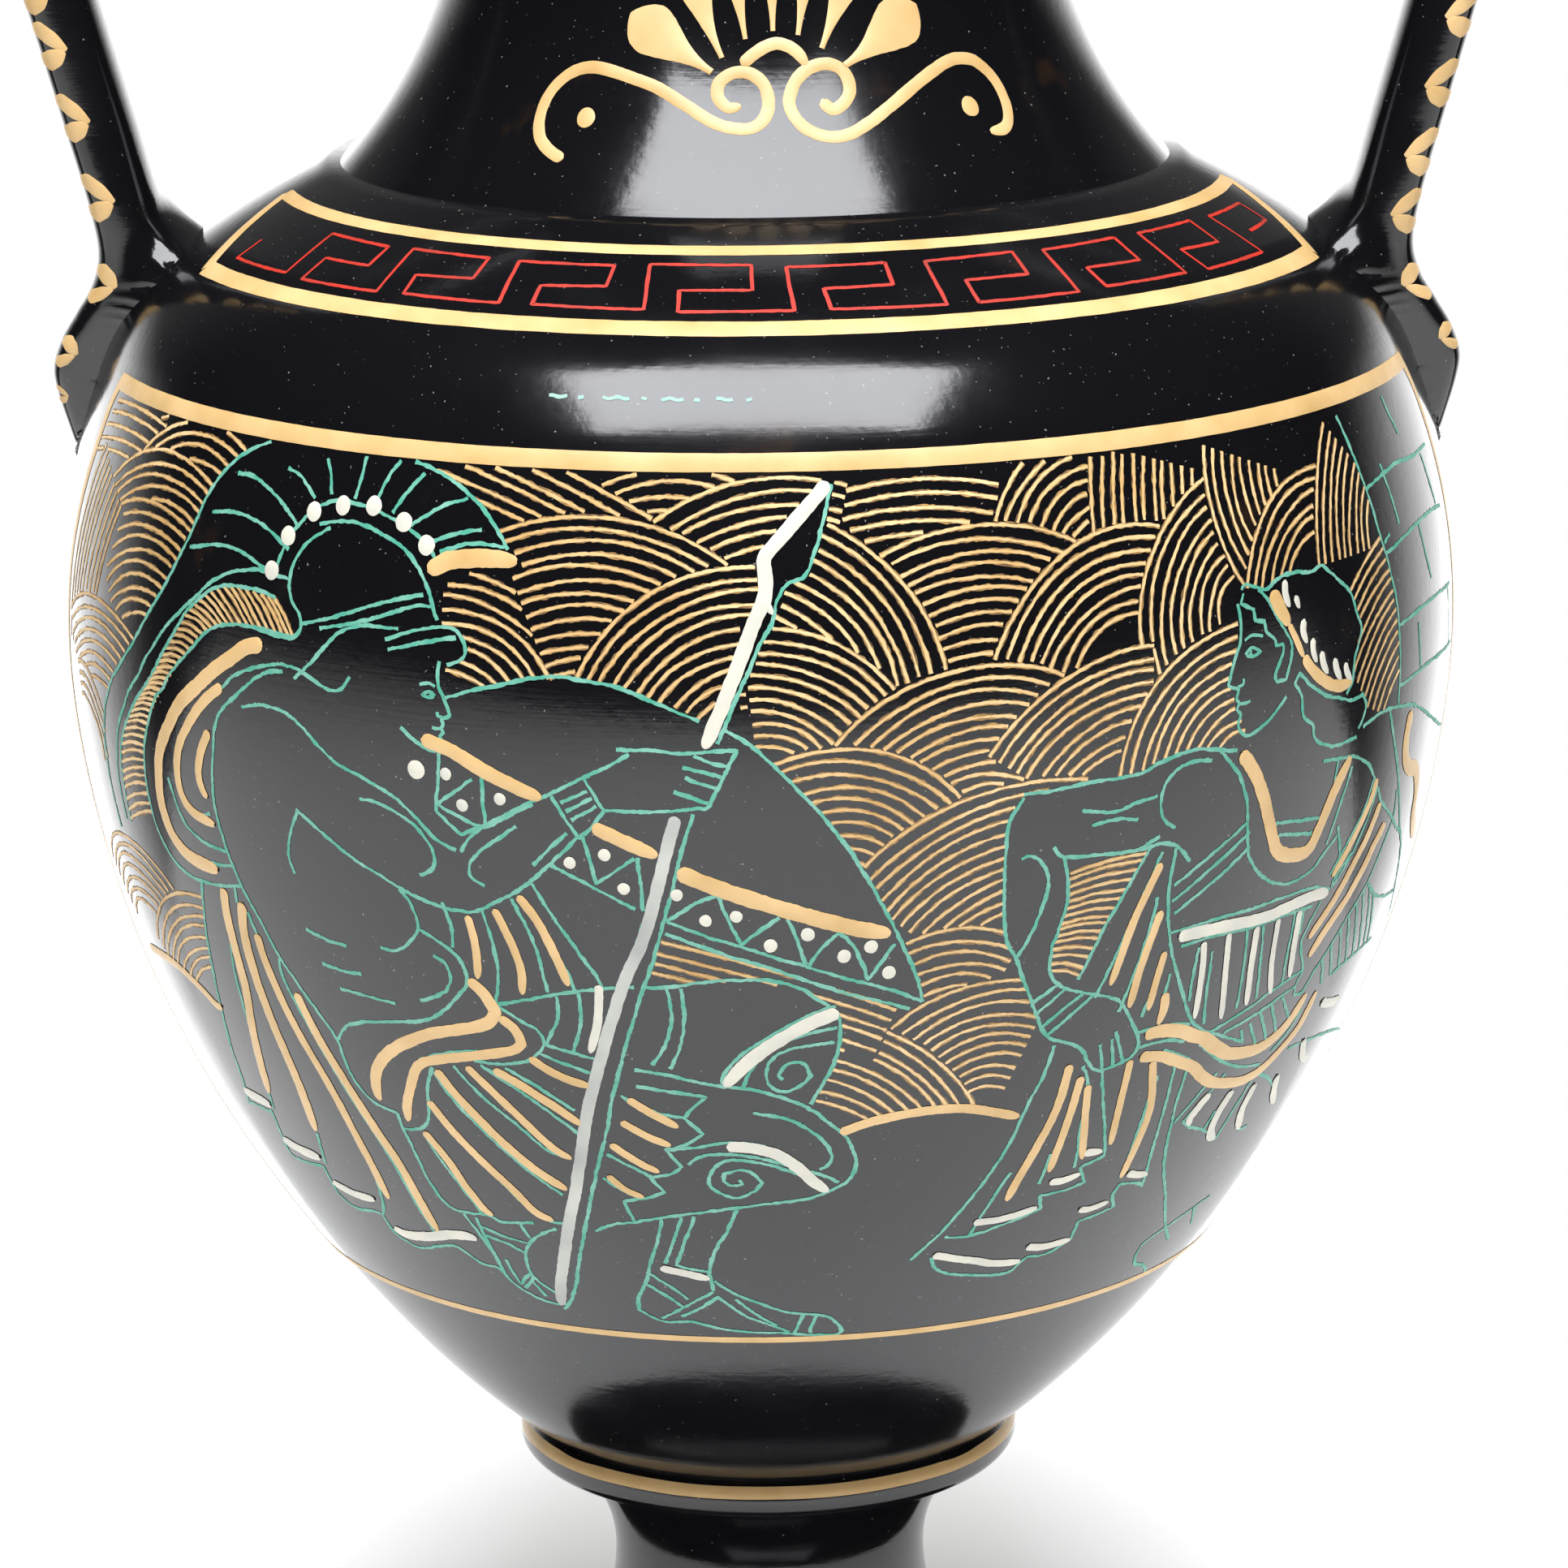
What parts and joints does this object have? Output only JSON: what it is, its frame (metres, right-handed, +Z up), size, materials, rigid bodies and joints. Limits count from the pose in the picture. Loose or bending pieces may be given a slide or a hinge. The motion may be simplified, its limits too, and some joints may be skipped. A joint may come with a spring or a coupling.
{
  "type": "amphora",
  "caption": "Footed two-handled decorative amphora with a hollow ovoid body, flared neck and ring mouth, luted from thrown and pulled clay pieces.",
  "frame": {"origin": "centre of the foot's resting face", "axes": "+Z up through the mouth, the handles lie along +X and -X, the figured front faces -Y"},
  "size_m": [0.2168, 0.2, 0.3384],
  "materials": {
    "foot_base": "gloss black slip over clay",
    "stem": "gloss black slip over clay",
    "collar_ring": "gloss black slip with an ochre line",
    "body_bowl": "gloss black slip with incised and painted decoration",
    "body_belly": "gloss black slip with incised and painted decoration",
    "body_shoulder": "gloss black slip with incised and painted decoration",
    "neck": "gloss black slip with painted ochre scrolls",
    "lip_ring": "gloss black slip over clay",
    "handle_right": "gloss black slip with painted ochre leaves",
    "handle_root_right": "gloss black slip with painted ochre leaves",
    "handle_left": "gloss black slip with painted ochre leaves",
    "handle_root_left": "gloss black slip with painted ochre leaves"
  },
  "bodies": {
    "root": {"foot_base": "foot_base", "stem": "stem", "collar_ring": "collar_ring", "body_bowl": "body_bowl", "body_belly": "body_belly", "body_shoulder": "body_shoulder", "neck": "neck", "lip_ring": "lip_ring", "handle_right": "handle_right", "handle_root_right": "handle_root_right", "handle_left": "handle_left", "handle_root_left": "handle_root_left"}
  },
  "joints": []
}
